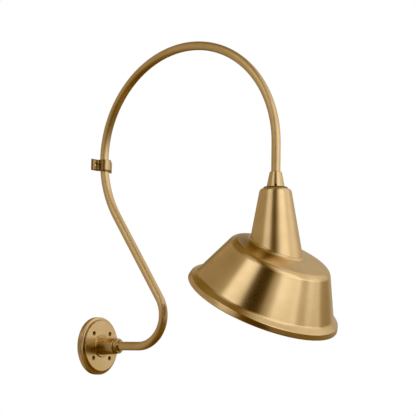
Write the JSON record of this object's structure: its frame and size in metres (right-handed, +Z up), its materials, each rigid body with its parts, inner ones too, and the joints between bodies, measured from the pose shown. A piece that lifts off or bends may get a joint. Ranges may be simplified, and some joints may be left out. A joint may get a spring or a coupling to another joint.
{
  "type": "gooseneck wall sconce",
  "caption": "Wall light: round wall plate, tubular gooseneck arm that arches high and is strapped to the wall, and a spun shade with an upright neck and a tilted bowl.",
  "frame": {"origin": "centre of the wall plate's back face, on the wall, in the middle of its four screw holes", "axes": "+X straight out of the wall, +Z up, +Y along the wall to the left of someone who faces it"},
  "size_m": [0.5863, 0.3245, 0.7222],
  "materials": {
    "brass": "brushed satin, lacquered",
    "brass_sheet": "spun sheet, fine circular brushing, satin lacquer",
    "rubber": "matt black closed-cell gasket",
    "earth_green": "green dyed zinc",
    "dark_steel": "black oxide",
    "zinc_steel": "bright zinc plate",
    "porcelain": "glazed white porcelain",
    "socket_brass": "bright stamped brass"
  },
  "bodies": {
    "root": {"wall_plate": "brass", "plate_gasket": "rubber", "earth_screw": "earth_green", "arm_hub": "brass", "hub_set_screw": "dark_steel", "gooseneck_tube": "brass", "tube_lock_washer": "zinc_steel", "tube_lock_nut": "zinc_steel", "wall_strap": "brass", "shade_fitter": "brass", "fitter_set_screw": "dark_steel", "neck_gasket": "rubber", "shade_nipple": "zinc_steel", "neck_washer": "zinc_steel", "neck_nut": "zinc_steel", "socket_cap": "zinc_steel", "socket_body": "porcelain", "screw_shell": "socket_brass", "centre_contact": "socket_brass", "terminal_screws": "socket_brass"},
    "shade": {"shade_neck": "brass_sheet", "shade_bowl": "brass_sheet"}
  },
  "joints": [
    {"name": "shade_swivel", "type": "hinge", "parent": "root", "child": "shade", "pos_m": [0.4722, 0, 0.32359], "axis": [0, 0, 1], "continuous": true}
  ]
}
